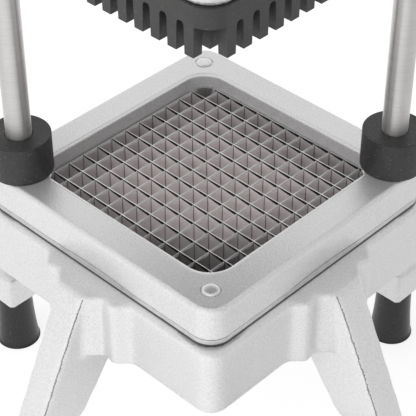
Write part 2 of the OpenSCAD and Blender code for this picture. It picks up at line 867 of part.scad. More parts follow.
base_casting();
blade_frame();
blades_lower_set();
blades_upper_set();
clamp_ring();
guide_rod_left();
guide_rod_right();
bumper_left();
bumper_right();
rod_washers();
rod_nuts();
retaining_studs();
thumb_nut_front();
thumb_nut_back();
foot_front_left();
foot_front_right();
foot_back_left();
foot_back_right();
foot_washers();
foot_screws();
push_head();
push_block();
block_screws();
block_washers();
bushing_left_lower();
bushing_left_upper();
bushing_right_lower();
bushing_right_upper();
handle_bar();
handle_grip();
handle_set_screws();
stop_washers();
cap_nuts();
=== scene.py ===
import json
import math

import bmesh
import bpy
from mathutils import Matrix, Vector
from mathutils import noise as field
from mathutils.bvhtree import BVHTree


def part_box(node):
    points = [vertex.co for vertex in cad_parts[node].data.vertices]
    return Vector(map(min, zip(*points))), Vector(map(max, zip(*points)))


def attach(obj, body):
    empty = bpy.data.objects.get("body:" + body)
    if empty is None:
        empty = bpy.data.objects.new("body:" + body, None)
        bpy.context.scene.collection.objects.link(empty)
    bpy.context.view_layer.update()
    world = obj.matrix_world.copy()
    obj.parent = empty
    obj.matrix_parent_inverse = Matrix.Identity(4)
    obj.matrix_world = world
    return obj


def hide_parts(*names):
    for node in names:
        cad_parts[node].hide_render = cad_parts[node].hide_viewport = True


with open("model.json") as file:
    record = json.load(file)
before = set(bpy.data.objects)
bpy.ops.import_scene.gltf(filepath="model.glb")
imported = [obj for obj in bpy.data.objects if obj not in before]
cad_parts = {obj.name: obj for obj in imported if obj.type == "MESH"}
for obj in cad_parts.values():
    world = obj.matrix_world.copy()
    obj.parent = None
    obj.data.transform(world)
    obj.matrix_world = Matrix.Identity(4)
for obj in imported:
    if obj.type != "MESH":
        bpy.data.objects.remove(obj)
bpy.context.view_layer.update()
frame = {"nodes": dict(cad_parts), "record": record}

nodes = frame["nodes"]
record = frame["record"]
body_of = {node: body for body, members in record["behaviour"]["bodies"].items() for node in members}
slot_of = {entry["node"]: entry["material_slot"] for entry in record["subparts"]}

# Places read from the frame, in metres
ring_low, ring_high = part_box("clamp_ring")
RING_TOP = ring_high.z
RING_BOTTOM = ring_low.z
GRID_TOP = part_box("blades_upper_set")[1].z
GRID_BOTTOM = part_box("blades_upper_set")[0].z

# The square of the grid, the well and the ring stands on its corner, an eighth of a turn round
EIGHTH = math.radians(45)
EIGHTH_TURN = Matrix.Rotation(EIGHTH, 4, "Z")

# Sizes that the part's source gives, in metres. Halves are measured along the square's sides
CUT_PITCH = 0.009525
BLADE_FIT = 0.00003
OPENING_HALF = 0.0582
OPENING_R = 0.0134
RING_R = 0.011
SEAT_HEIGHT = 0.0017
WELL_HALF = 0.06285
BOSS_REACH = 0.0145
BOSS_LOW = 0.149
FOOT_TOP = 0.036
ROD_BORE = 0.00635
STUD_BORE = 0.00335
STUD_COLLAR = 0.00475

# Places worked out from the frame, in metres
LEDGE_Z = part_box("base_casting")[1].z - SEAT_HEIGHT
RING_HALF = max((EIGHTH_TURN.inverted() @ vertex.co).x for vertex in nodes["clamp_ring"].data.vertices)
ROD_X = (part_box("guide_rod_right")[0].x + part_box("guide_rod_right")[1].x) / 2
STUD_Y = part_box("retaining_studs")[1].y - STUD_COLLAR
BOSS_AXES = [(EIGHTH_TURN.inverted() @ Vector(axis)).to_2d()
             for axis in ((ROD_X, 0, 0), (-ROD_X, 0, 0), (0, STUD_Y, 0), (0, -STUD_Y, 0))]


# Shader nodes

def adder(tree):
    """A function that adds a node to the tree. Each input is a value, or a socket to link."""
    def add(kind, inputs=None, **settings):
        node = tree.nodes.new(kind)
        for key, value in settings.items():
            setattr(node, key, value)
        for key, value in (inputs or {}).items():
            if isinstance(value, bpy.types.NodeSocket):
                tree.links.new(value, node.inputs[key])
            else:
                node.inputs[key].default_value = value
        return node

    return add


def material(name):
    """A new material, its shader, and functions that add a node and link two sockets."""
    made = bpy.data.materials.new(name)
    made.use_nodes = True
    tree = made.node_tree
    return made, tree.nodes["Principled BSDF"], adder(tree), tree.links.new


def grey(level, warmth=0.0):
    """A linear colour from an sRGB grey level, 0 to 255, made warmer by a share."""
    share = level / 255
    linear = share / 12.92 if share <= 0.04045 else ((share + 0.055) / 1.055) ** 2.4
    return (linear * (1 + warmth), linear, linear * (1 - warmth), 1)


# The steel's red, green and blue against a plain grey
PINK = (1.02, 0.965, 0.965)


def pinkish(level):
    """A linear colour near a grey level, with the faint pink of the steel in the picture."""
    red, green, blue, full = grey(level)
    return (red * PINK[0], green * PINK[1], blue * PINK[2], full)


def noise(add, scale, detail=3.0, rough=0.5, vector=None, stretch=None):
    """A noise texture in the object's own coordinates, features per metre."""
    place = vector or add("ShaderNodeTexCoord").outputs["Object"]
    if stretch:
        place = add("ShaderNodeMapping", {"Vector": place, "Scale": stretch}).outputs["Vector"]
    return add("ShaderNodeTexNoise", {"Vector": place, "Scale": scale, "Detail": detail, "Roughness": rough})


def spread(add, value, low, high, start=0.3, end=0.7):
    """A value from 0 to 1 spread between low and high."""
    return add("ShaderNodeMapRange", {"Value": value, "From Min": start, "From Max": end,
                                      "To Min": low, "To Max": high}).outputs["Result"]


def blend_colour(add, factor, first, second, **settings):
    """The first colour turned into the second by a factor. Each may be a value or a socket."""
    return add("ShaderNodeMix", {0: factor, 6: first, 7: second}, data_type="RGBA", **settings).outputs[2]


def bump(add, height, strength, distance):
    """A surface direction that follows a relief of the distance, in metres, at its full strength."""
    relief = {"Height": height, "Strength": strength, "Distance": distance}
    return add("ShaderNodeBump", relief).outputs["Normal"]


def uneven(add, value, roughness, smoother=0.05, rougher=0.08):
    """A roughness that varies round its level with a noise."""
    return spread(add, value, roughness - smoother, roughness + rougher)


def calculate(add, operation, first, second=None):
    """The result of a math node on one or two values or sockets."""
    inputs = {0: first} if second is None else {0: first, 1: second}
    return add("ShaderNodeMath", inputs, operation=operation).outputs[0]


def along_grid(add, place):
    """A place turned so that its axes run along the two directions of the blades."""
    return add("ShaderNodeMapping", {"Vector": place, "Rotation": (0, 0, EIGHTH)}).outputs["Vector"]


def inside_band(add, height, low, high, soft=0.0001):
    """1 between two heights, 0 beyond them."""
    above = spread(add, height, 0, 1, low - soft, low)
    below = spread(add, height, 1, 0, high, high + soft)
    return calculate(add, "MULTIPLY", above, below)


def off_ring(add, place):
    """How far a point lies outside the ring's corner arcs and sides, plus the ring's corner radius."""
    turned = along_grid(add, place)
    straight = RING_HALF - RING_R
    for operation, inputs in (("ABSOLUTE", {0: turned}), ("SUBTRACT", {1: (straight, straight, 0)}),
                              ("MAXIMUM", {1: (0, 0, 0)}), ("MULTIPLY", {1: (1, 1, 0)})):
        turned = add("ShaderNodeVectorMath", {0: turned, **inputs}, operation=operation).outputs[0]
    return add("ShaderNodeVectorMath", {0: turned}, operation="LENGTH").outputs["Value"]


# Shares and sizes of the cast finish and of the painted shade in its joints. A speckle runs from its first
# level to its second
CAST_METALLIC = 0.62
CAST_SPECKLE = (0.32, 0.62)
CAST_RELIEF = 0.00045
CLOUD_SCALE = 28
CLOUD_SHARE = 0.35
# Painted shade: the grey and warmth that darken the gap under the flange and the line under the clamp ring
PAINTED_SHADE_GREY, PAINTED_SHADE_WARMTH = 48, 0.04
GAP_DEPTH = 0.001
GAP_OVER_SEAT = 0.00005
GAP_FADE = (-0.0004, 0.0003)
GAP_SHADE_SHARE = 0.88
LINE_BAND = (-0.0003, 0.0001)
LINE_SHADE_SHARE = 0.85


def cast_metal(name, light, dark, grain, roughness, bump_strength, shaded_joints=False):
    """Bead blasted cast aluminium: a fine speckle under a slow cloudiness.
    With shaded joints it has painted shade in the gap over the ledge and in the line under the clamp ring."""
    made, shader, add, link = material(name)
    shader.inputs["Metallic"].default_value = CAST_METALLIC
    place = add("ShaderNodeTexCoord").outputs["Object"]
    fine = noise(add, grain, 3, 0.55, vector=place).outputs["Fac"]
    clouds = noise(add, CLOUD_SCALE, 2, 0.5, vector=place).outputs["Fac"]
    body = blend_colour(add, spread(add, fine, 0, 1, *CAST_SPECKLE), grey(dark), grey(light))
    surface = blend_colour(add, spread(add, clouds, 0, CLOUD_SHARE), body, grey(light))
    # Painted shade: the gap under the flange's overhang and the line under the clamp ring are darkened in the
    # colour
    if shaded_joints:
        height = add("ShaderNodeSeparateXYZ", {"Vector": place}).outputs["Z"]
        gap = inside_band(add, height, LEDGE_Z - GAP_DEPTH, LEDGE_Z + SEAT_HEIGHT + GAP_OVER_SEAT)
        near = spread(add, off_ring(add, place), 1, 0, RING_R + GAP_FADE[0], RING_R + GAP_FADE[1])
        gap = calculate(add, "MULTIPLY", gap, near)
        line = inside_band(add, height, RING_BOTTOM + LINE_BAND[0], RING_BOTTOM + LINE_BAND[1])
        painted_shade = grey(PAINTED_SHADE_GREY, PAINTED_SHADE_WARMTH)
        for inside, share in ((gap, GAP_SHADE_SHARE), (line, LINE_SHADE_SHARE)):
            surface = blend_colour(add, spread(add, inside, 0, share, 0, 1), surface, painted_shade)
    link(surface, shader.inputs["Base Color"])
    link(uneven(add, fine, roughness), shader.inputs["Roughness"])
    link(bump(add, fine, bump_strength, CAST_RELIEF), shader.inputs["Normal"])
    return made


# Stains and fine marks on metal
STAIN_SCALE = 60
STAIN_SHARE = 0.3
STAIN_STEP = 12
DRAWN_SCALE = 260
DRAWN_RELIEF = 0.0001


def stained(add, marks, light, dark, warmth):
    """A metal's colour with marks and with darker stains."""
    stains = noise(add, STAIN_SCALE, 3, 0.6).outputs["Fac"]
    body = blend_colour(add, spread(add, marks, 0, 1), grey(dark, warmth), grey(light, warmth))
    return blend_colour(add, spread(add, stains, 0, STAIN_SHARE), body, grey(dark - STAIN_STEP, warmth))


def drawn_metal(name, light, dark, roughness, warmth=0.02, strength=0.08, metallic=1.0):
    """Steel or aluminium with fine marks and stains."""
    made, shader, add, link = material(name)
    shader.inputs["Metallic"].default_value = metallic
    marks = noise(add, DRAWN_SCALE, 5, 0.65).outputs["Fac"]
    link(stained(add, marks, light, dark, warmth), shader.inputs["Base Color"])
    link(uneven(add, marks, roughness), shader.inputs["Roughness"])
    link(bump(add, marks, strength, DRAWN_RELIEF), shader.inputs["Normal"])
    return made


# Rubber and plastic
MOULD_WARMTH = 0.02
PATCH_SCALE = 70
PATCH_LEVELS = (0.35, 0.70)
MOULD_GRAIN = 900
GRAIN_SHARE = 0.25
GRAIN_STEP = 14
DUST_LEVELS = (0.70, 0.76)
DUST_GREY = 175
MOULD_BUMP = 0.25
MOULD_RELIEF = 0.00012


def moulded(name, level, sheen_level, roughness, specks, dust_grain=620):
    """Black rubber or plastic with a fine texture, paler rubbed patches and a few dust specks."""
    made, shader, add, link = material(name)
    fine = noise(add, MOULD_GRAIN, 3, 0.6).outputs["Fac"]
    patches = noise(add, PATCH_SCALE, 3, 0.6).outputs["Fac"]
    dust = noise(add, dust_grain, 1, 0.4).outputs["Fac"]
    body = blend_colour(add, spread(add, patches, 0, 1, *PATCH_LEVELS),
                        grey(level, MOULD_WARMTH), grey(sheen_level, MOULD_WARMTH))
    grained = blend_colour(add, spread(add, fine, 0, GRAIN_SHARE), body, grey(level - GRAIN_STEP))
    dusty = blend_colour(add, spread(add, dust, 0, specks, *DUST_LEVELS), grained, grey(DUST_GREY))
    link(dusty, shader.inputs["Base Color"])
    link(uneven(add, fine, roughness, smoother=0.07), shader.inputs["Roughness"])
    link(bump(add, fine, MOULD_BUMP, MOULD_RELIEF), shader.inputs["Normal"])
    return made


# The ground rods
GROUND_ANISOTROPY = 0.95
ALONG_THE_ROD = 0.25
GROUND_SCALE = 300
ROUND_THE_ROD = (0.3, 0.3, 6.0)
GROUND_WARMTH = 0.015
GROUND_ROUGHNESS = (0.30, 0.36)


def ground_metal(name, light, dark):
    """A centreless ground rod: marks that run round it spread each reflection along it."""
    made, shader, add, link = material(name)
    shader.inputs["Metallic"].default_value = 1.0
    shader.inputs["Anisotropic"].default_value = GROUND_ANISOTROPY
    shader.inputs["Anisotropic Rotation"].default_value = ALONG_THE_ROD
    around = add("ShaderNodeTangent", direction_type="RADIAL", axis="Z")
    link(around.outputs["Tangent"], shader.inputs["Tangent"])
    marks = noise(add, GROUND_SCALE, 4, 0.6, stretch=ROUND_THE_ROD).outputs["Fac"]
    link(stained(add, marks, light, dark, GROUND_WARMTH), shader.inputs["Base Color"])
    link(spread(add, marks, *GROUND_ROUGHNESS), shader.inputs["Roughness"])
    return made


BRONZE_DARK, BRONZE_LIGHT = (0.30, 0.19, 0.08, 1), (0.50, 0.34, 0.15, 1)
PORE_SCALE = 1500
PORE_ROUGHNESS = (0.34, 0.50)


def bronze_metal(name):
    """Sintered bronze with fine dark pores."""
    made, shader, add, link = material(name)
    shader.inputs["Metallic"].default_value = 1.0
    pores = noise(add, PORE_SCALE, 3, 0.6).outputs["Fac"]
    link(blend_colour(add, spread(add, pores, 0, 1), BRONZE_DARK, BRONZE_LIGHT), shader.inputs["Base Color"])
    link(spread(add, pores, *PORE_ROUGHNESS), shader.inputs["Roughness"])
    return made


# Shares and sizes of the blades' finish and of its painted shade. Lengths are in metres from a crossing, the
# grid's top or its middle
BLADE_METALLIC = 0.6
BLADE_ROUGHNESS = (0.28, 0.40)
BLADE_BUMP = 0.2
BLADE_RELIEF = 0.00008
BLADE_MARK_SCALE = 420
DRAWN_DOWN = (1.0, 1.0, 0.25)
BLADE_CLOUD_SCALE = 130
BLADE_CLOUD_SHARE = 0.4
SHADE_LINE_FROM = 0.00027
SHADE_LINE_FADE = (0.00038, 0.00062)
CROSSING_SHADE_SHARE = 0.85
DEEP_SHADE, DEEP_FROM, DEEP_TO = 0.86, 0.009, 0.001
RIM_SHADE, RIM_FROM, RIM_TO = 0.78, 0.030, 0.054
FRONT_SHADE, FRONT_FROM, FRONT_TO = 0.16, -0.072, -0.034


def blade_metal(name, pitch, light, dark, crossing_shade):
    """Matt strip steel with fine drawn marks, a line of painted shade beside each crossing,
    and painted shade that is darker low down, at the grid's rim and towards its front corner."""
    made, shader, add, link = material(name)
    shader.inputs["Metallic"].default_value = BLADE_METALLIC
    place = add("ShaderNodeTexCoord").outputs["Object"]
    axes = add("ShaderNodeSeparateXYZ", {"Vector": along_grid(add, place)})
    sides = [axes.outputs[axis] for axis in ("X", "Y")]
    lines = []
    for side in sides:
        away = calculate(add, "PINGPONG", side, pitch / 2)
        beyond = calculate(add, "GREATER_THAN", away, SHADE_LINE_FROM)
        lines.append(calculate(add, "MULTIPLY", beyond, spread(add, away, 1.0, 0.0, *SHADE_LINE_FADE)))
    line = calculate(add, "MAXIMUM", *lines)
    marks = noise(add, BLADE_MARK_SCALE, 5, 0.65, vector=place, stretch=DRAWN_DOWN).outputs["Fac"]
    clouds = noise(add, BLADE_CLOUD_SCALE, 3, 0.6, vector=place).outputs["Fac"]
    body = blend_colour(add, spread(add, marks, 0, 1), pinkish(dark), pinkish(light))
    cloudy = blend_colour(add, spread(add, clouds, 0, BLADE_CLOUD_SHARE), body, pinkish(dark))
    # Painted shade: a dark line in the inner corner beside each crossing
    shade_lined = blend_colour(add, spread(add, line, 0, CROSSING_SHADE_SHARE, 0, 1), cloudy, pinkish(crossing_shade))
    # Painted shade: darker low in the cells, at the grid's rim and towards its front corner
    rim = calculate(add, "MAXIMUM", *[calculate(add, "ABSOLUTE", side) for side in sides])
    forward = add("ShaderNodeSeparateXYZ", {"Vector": place}).outputs["Y"]
    unshaded_share = spread(add, axes.outputs["Z"], DEEP_SHADE, 1.0, GRID_TOP - DEEP_FROM, GRID_TOP - DEEP_TO)
    for share in (spread(add, rim, 1.0, RIM_SHADE, RIM_FROM, RIM_TO),
                  spread(add, forward, FRONT_SHADE, 1.0, FRONT_FROM, FRONT_TO)):
        unshaded_share = calculate(add, "MULTIPLY", unshaded_share, share)
    link(blend_colour(add, unshaded_share, grey(0), shade_lined), shader.inputs["Base Color"])
    link(spread(add, marks, *BLADE_ROUGHNESS), shader.inputs["Roughness"])
    link(bump(add, marks, BLADE_BUMP, BLADE_RELIEF), shader.inputs["Normal"])
    return made


# Each finish by its slot. The first two numbers are its light and dark greys, 0 to 255; rubber and
# plastic have the plain grey first and the rubbed one second
MATERIALS = {
    "cast_aluminium": cast_metal("cast_aluminium", 238, 218, 1150, 0.34, 0.36, True),
    "cast_head": cast_metal("cast_head", 232, 212, 1250, 0.34, 0.36),
    "machined_aluminium": drawn_metal("machined_aluminium", 228, 205, 0.30, 0.0),
    # The blade steel's last grey is its painted shade beside the crossings
    "blade_steel": blade_metal("blade_steel", CUT_PITCH, 254, 246, 90),
    "rod_steel": ground_metal("rod_steel", 222, 206),
    "handle_steel": drawn_metal("handle_steel", 232, 216, 0.16, 0.015, 0.03),
    "fastener_steel": drawn_metal("fastener_steel", 222, 196, 0.26, 0.02),
    "dark_steel": drawn_metal("dark_steel", 110, 84, 0.4, 0.0),
    "bronze": bronze_metal("bronze"),
    "rubber": moulded("rubber", 24, 30, 0.30, 0.35, dust_grain=1500),
    "bumper_rubber": moulded("bumper_rubber", 42, 52, 0.44, 0.5, dust_grain=1500),
    "black_plastic": moulded("black_plastic", 52, 60, 0.40, 0.1),
}
# Finishes of parts of a piece
GROUND_EDGE = drawn_metal("ground_edge", 246, 232, 0.42, 0.01, metallic=0.6)
# The upper strips' ground edge is painted dark as shade
GROUND_EDGE_PAINTED_SHADE = drawn_metal("ground_edge_painted_shade", 84, 58, 0.45, 0.03)
CAST_SEAM = cast_metal("cast_seam", 200, 20, 1700, 0.5, 0.9)
STUD_STEEL = drawn_metal("stud_steel", 248, 232, 0.3, 0.0, metallic=0.7)
HONED_EDGE = drawn_metal("honed_edge", 253, 246, 0.38, 0.0)


# Meshes

WELD = 1e-6
FLAT_DEG = 0.4
EDGE_DEG = 38
SMOOTH_DEG = 32
TURNED_DEG = 40
NORMAL_WEIGHT = 80
SHARE_STEPS = 8


def adopt(piece, node, more=()):
    """The piece stands for the node: it rides on its body and takes its finish."""
    bpy.context.scene.collection.objects.link(piece)
    for finish in (MATERIALS[slot_of[node]], *more):
        piece.data.materials.append(finish)
    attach(piece, body_of[node])
    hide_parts(node)
    return piece


def outline_mesh(node):
    """A copy of a node's mesh, joined at its edges, with its flat faces in one piece each."""
    shape = bmesh.new()
    shape.from_mesh(nodes[node].data)
    bmesh.ops.remove_doubles(shape, verts=shape.verts, dist=WELD)
    bmesh.ops.dissolve_limit(shape, angle_limit=math.radians(FLAT_DEG), verts=shape.verts, edges=shape.edges)
    return shape


def sharp_edges(shape):
    """The edges between two faces that meet at more than EDGE_DEG."""
    return [edge for edge in shape.edges
            if len(edge.link_faces) == 2 and edge.calc_face_angle(0) > math.radians(EDGE_DEG)]


def finish_mesh(shape, name, smooth_deg=SMOOTH_DEG):
    """An object from a bmesh, shaded smooth within the angle."""
    mesh = bpy.data.meshes.new(name)
    shape.to_mesh(mesh)
    shape.free()
    mesh.shade_smooth()
    mesh.set_sharp_from_angle(angle=math.radians(smooth_deg))
    return bpy.data.objects.new(name, mesh)


def apply_modifiers(piece):
    """Gives the piece the mesh that its modifiers leave. The piece is in no collection yet."""
    bpy.context.scene.collection.objects.link(piece)
    made = bpy.data.meshes.new_from_object(piece.evaluated_get(bpy.context.evaluated_depsgraph_get()))
    piece.modifiers.clear()
    piece.data = made
    bpy.context.scene.collection.objects.unlink(piece)


def weigh_normals(piece):
    """Shades the piece's large faces flat, so that only its rounded edges turn the light."""
    weighted = piece.modifiers.new("weighted", "WEIGHTED_NORMAL")
    weighted.keep_sharp = True
    weighted.weight = NORMAL_WEIGHT
    apply_modifiers(piece)


def edged(node, width, segments=2):
    """A copy of the node with rounded edges."""
    shape = outline_mesh(node)
    bmesh.ops.bevel(shape, geom=sharp_edges(shape), offset=width, segments=segments, profile=0.5,
                    affect="EDGES", clamp_overlap=True)
    piece = finish_mesh(shape, node + "_finished")
    weigh_normals(piece)
    return adopt(piece, node)


def cast(node, voxel, rounds, softness=None):
    """A copy of the node with the soft edges and corners of a casting.
    The softness says for a point of the turned mesh how far it may move, from 0 to 1."""
    shape = outline_mesh(node)
    bmesh.ops.rotate(shape, cent=(0, 0, 0), matrix=EIGHTH_TURN.inverted().to_3x3(), verts=shape.verts)
    piece = finish_mesh(shape, node + "_finished")
    remesh = piece.modifiers.new("skin", "REMESH")
    remesh.mode = "VOXEL"
    remesh.voxel_size = voxel
    apply_modifiers(piece)
    smooth = piece.modifiers.new("soft", "SMOOTH")
    smooth.factor = 0.5
    smooth.iterations = rounds
    if softness:
        group = piece.vertex_groups.new(name="soft")
        smooth.vertex_group = group.name
        levels = {}
        for vertex in piece.data.vertices:
            levels.setdefault(round(softness(vertex.co) * SHARE_STEPS), []).append(vertex.index)
        for level, members in levels.items():
            if level:
                group.add(members, level / SHARE_STEPS, "REPLACE")
    apply_modifiers(piece)
    piece.data.transform(EIGHTH_TURN)
    piece.data.shade_smooth()
    return adopt(piece, node)


def bridge(shape, low, high):
    """Faces between two loops of as many points. Points that both corners share are taken once."""
    count = len(low)
    for index in range(count):
        after = (index + 1) % count
        shape.faces.new(list(dict.fromkeys((low[index], low[after], high[after], high[index]))))


def close_ends(shape, loops):
    """A face over the first loop and one over the last."""
    shape.faces.new(loops[0])
    shape.faces.new(list(reversed(loops[-1])))


def lathe(profile, centre, steps=72, shape=None):
    """A solid of revolution about an upright axis, from its profile of radii and heights.
    A profile that starts and ends on the axis is closed there."""
    shape = shape or bmesh.new()
    rings = []
    for radius, height in profile:
        if radius == 0:
            rings.append([shape.verts.new((centre.x, centre.y, height))] * steps)
            continue
        turns = [2 * math.pi * step / steps for step in range(steps)]
        rings.append([shape.verts.new((centre.x + radius * math.cos(turn), centre.y + radius * math.sin(turn),
                                       height)) for turn in turns])
    closed = profile[0][0] == 0
    for low, high in zip(rings, rings[1:] if closed else rings[1:] + rings[:1]):
        bridge(shape, low, high)
    bmesh.ops.recalc_face_normals(shape, faces=shape.faces)
    return shape


def turned(node, profile, centre):
    """A piece turned about an upright axis in place of the node."""
    return adopt(finish_mesh(lathe(profile, centre), node + "_finished", TURNED_DEG), node)


def middle_of(node):
    """The middle of a node's box."""
    low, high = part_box(node)
    return (low + high) / 2


# Pieces of the base

# How the softness of the base casting fades: gaps that stay hard, and the way to full softness
LEG_END_GAP, LEG_END_FADE = 0.001, 0.002
LEDGE_GAP, SEAT_FADE = 0.001, 0.0012
WELL_GAP, WELL_FADE = 0.0012, 0.0015
BOSS_FADE = 0.001
FRAME_BREAK = 0.0003
BASE_VOXEL, BASE_ROUNDS = 0.0008, 60
HEAD_VOXEL, HEAD_ROUNDS = 0.0009, 4


def clamped(value):
    """The value kept from 0 to 1."""
    return min(1.0, max(0.0, value))


def base_softness(place):
    """The base casting is soft but for its seat, its well, its bosses and the ends of its legs."""
    sides = [max(0.0, abs(value) - (RING_HALF - RING_R)) for value in (place.x, place.y)]
    outside = math.hypot(*sides) - RING_R
    share = clamped((place.z - FOOT_TOP - LEG_END_GAP) / LEG_END_FADE)
    if place.z > LEDGE_Z - LEDGE_GAP:
        share = min(share, clamped(1 + outside / SEAT_FADE))
    if place.z > BOSS_LOW:
        from_well = max(abs(place.x), abs(place.y)) - WELL_HALF
        share = min(share, clamped((from_well - WELL_GAP) / WELL_FADE))
        for axis in BOSS_AXES:
            share = min(share, clamped((math.dist(place.to_2d(), axis) - BOSS_REACH) / BOSS_FADE))
    return share


# The outer front edge of the front right leg, from the ledge down to the block over its foot
LEG_RIDGE = [(0.05749, -0.06979, 0.1713), (0.06965, -0.07887, 0.1350), (0.08259, -0.08853, 0.0953),
             (0.11294, -0.10319, 0.0460)]
SEAM_STEP = 0.0006
SEAM_HALF = 0.0006
SEAM_RISE = 0.0003
SEAM_ROOT = 0.0003
SEAM_GRAIN = 1400
SEAM_SMOOTH_DEG = 60


def build_seams(casting):
    """The ragged parting line that the mould leaves down the outer edge of each leg."""
    mesh = casting.data
    skin = BVHTree.FromPolygons([vertex.co for vertex in mesh.vertices],
                                [face.vertices for face in mesh.polygons])
    shape = bmesh.new()
    for side_x in (-1, 1):
        for side_y in (-1, 1):
            corners = [Vector((side_x * x, side_y * y, z)) for x, y, z in LEG_RIDGE]
            loops = []
            for start, end in zip(corners, corners[1:]):
                steps = round((end - start).length / SEAM_STEP)
                for step in range(steps):
                    at, out = skin.find_nearest(start.lerp(end, step / steps))[:2]
                    across = out.cross(end - start).normalized()
                    rough = 1 + field.noise(at * SEAM_GRAIN)
                    middle = at + across * SEAM_HALF * (rough - 1) / 3
                    loops.append([shape.verts.new(middle - across * SEAM_HALF - out * SEAM_ROOT),
                                  shape.verts.new(middle + out * SEAM_RISE * rough),
                                  shape.verts.new(middle + across * SEAM_HALF - out * SEAM_ROOT)])
            for now, after in zip(loops, loops[1:]):
                bridge(shape, now, after)
            close_ends(shape, loops)
    bmesh.ops.recalc_face_normals(shape, faces=shape.faces)
    piece = finish_mesh(shape, "casting_seams", SEAM_SMOOTH_DEG)
    bpy.context.scene.collection.objects.link(piece)
    piece.data.materials.append(CAST_SEAM)
    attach(piece, body_of["base_casting"])


def build_base():
    """The casting with its parting lines, and the blade frame in its well."""
    build_seams(cast("base_casting", BASE_VOXEL, BASE_ROUNDS, base_softness))
    edged("blade_frame", FRAME_BREAK)


# A post's radii, heights and the half of its arc
POST_INNER, POST_OUTER, POST_FOOT = 0.0120, 0.0131, 0.0150
POST_LOW, POST_STEP, POST_TOP = 0.1700, 0.1764, 0.1872
POST_BREAK = 0.0003
POST_HALF_DEG = 16
POST_STEPS = 6


def build_posts():
    """A post of the blade frame in each corner of the opening, curved like the corner."""
    profile = [(POST_INNER, POST_LOW), (POST_FOOT, POST_LOW), (POST_FOOT, POST_STEP), (POST_OUTER, POST_STEP),
               (POST_OUTER, POST_TOP - POST_BREAK), (POST_OUTER - POST_BREAK, POST_TOP),
               (POST_INNER + POST_BREAK, POST_TOP), (POST_INNER, POST_TOP - POST_BREAK)]
    shape = bmesh.new()
    arc_at = OPENING_HALF - OPENING_R
    for corner in range(4):
        turn = Matrix.Rotation(math.radians(90 * corner), 3, "Z")
        loops = []
        for step in range(-POST_STEPS, POST_STEPS + 1):
            angle = math.radians(45 + POST_HALF_DEG * step / POST_STEPS)
            loops.append([shape.verts.new(turn @ Vector((arc_at + radius * math.cos(angle),
                                                         arc_at + radius * math.sin(angle), z)))
                          for radius, z in profile])
        for now, after in zip(loops, loops[1:]):
            bridge(shape, now, after)
        close_ends(shape, loops)
    bmesh.ops.recalc_face_normals(shape, faces=shape.faces)
    bmesh.ops.rotate(shape, cent=(0, 0, 0), matrix=EIGHTH_TURN.to_3x3(), verts=shape.verts)
    piece = finish_mesh(shape, "blade_frame_posts")
    bpy.context.scene.collection.objects.link(piece)
    piece.data.materials.append(MATERIALS[slot_of["blade_frame"]])
    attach(piece, body_of["blade_frame"])


# Steps round a corner of the ring and along a side, and round a bore
ARC_STEPS = 14
SIDE_STEPS = 90
BORE_STEPS = 64


def turned_by(turn, x, y):
    """A point turned about the middle."""
    return (x * math.cos(turn) - y * math.sin(turn), x * math.sin(turn) + y * math.cos(turn))


def round_square(half, radius):
    """Points round a square with round corners."""
    points = []
    for corner in range(4):
        turn = math.radians(90 * corner)
        for step in range(ARC_STEPS + 1):
            angle = math.radians(90) * step / ARC_STEPS
            points.append(turned_by(turn, half - radius + radius * math.cos(angle),
                                    half - radius + radius * math.sin(angle)))
        x, y = points[-1]
        far_x, far_y = turned_by(turn, -(half - radius), half)
        for step in range(1, SIDE_STEPS):
            share = step / SIDE_STEPS
            points.append((x + (far_x - x) * share, y + (far_y - y) * share))
    return points


def swept(profile):
    """A ring swept round the grid, before its turn by an eighth. The profile lists half the side,
    the corner radius and the height."""
    shape = bmesh.new()
    loops = [[shape.verts.new((x, y, z)) for x, y in round_square(half, radius)]
             for half, radius, z in profile]
    for low, high in zip(loops, loops[1:] + loops[:1]):
        bridge(shape, low, high)
    bmesh.ops.recalc_face_normals(shape, faces=shape.faces)
    return shape


def add_post(shape, x, y, radius, low, high):
    """An upright cylinder among the cutters."""
    made = bmesh.ops.create_cone(shape, cap_ends=True, segments=BORE_STEPS, radius1=radius, radius2=radius,
                                 depth=high - low)
    bmesh.ops.translate(shape, vec=(x, y, (low + high) / 2), verts=made["verts"])


def cut(piece, cutters):
    """The piece less each of the cutters."""
    scene = bpy.context.scene.collection
    scene.objects.link(piece)
    solids = []
    for index, shape in enumerate(cutters):
        mesh = bpy.data.meshes.new("cutter")
        shape.to_mesh(mesh)
        shape.free()
        solid = bpy.data.objects.new("cutter_%d" % index, mesh)
        scene.objects.link(solid)
        solids.append(solid)
        less = piece.modifiers.new("cut_%d" % index, "BOOLEAN")
        less.operation = "DIFFERENCE"
        less.solver = "EXACT"
        less.object = solid
    scene.objects.unlink(piece)
    apply_modifiers(piece)
    for solid in solids:
        bpy.data.objects.remove(solid)


# The ring's finger scoops, its rounded outer edge and the sinks round its studs
SCOOP_RADIUS = 0.262
SCOOP_DISH = 0.00192
SCOOP_DROP = 0.0207
SCOOP_SOFT = 0.00015
FILLET = 0.0026
FILLET_STEPS = 7
SIDE_ROWS = 16
RING_BREAK = 0.0004
SINK_DEPTH = 0.0012
SINK_FIT = 0.00005
SINK_BREAK = 0.0001
BEYOND = 0.001
# The opening's edge from its fine groove to its wall: distance from the wall, and drop
OPENING_EDGE = [(0.0026, 0), (0.0021, -0.00002), (0.0019, -0.00024), (0.00175, -0.00026), (0.0015, -0.00008),
                (0.00135, -0.0001), (0.0003, -0.0004), (0.0001, -0.00065), (0, -0.0011)]


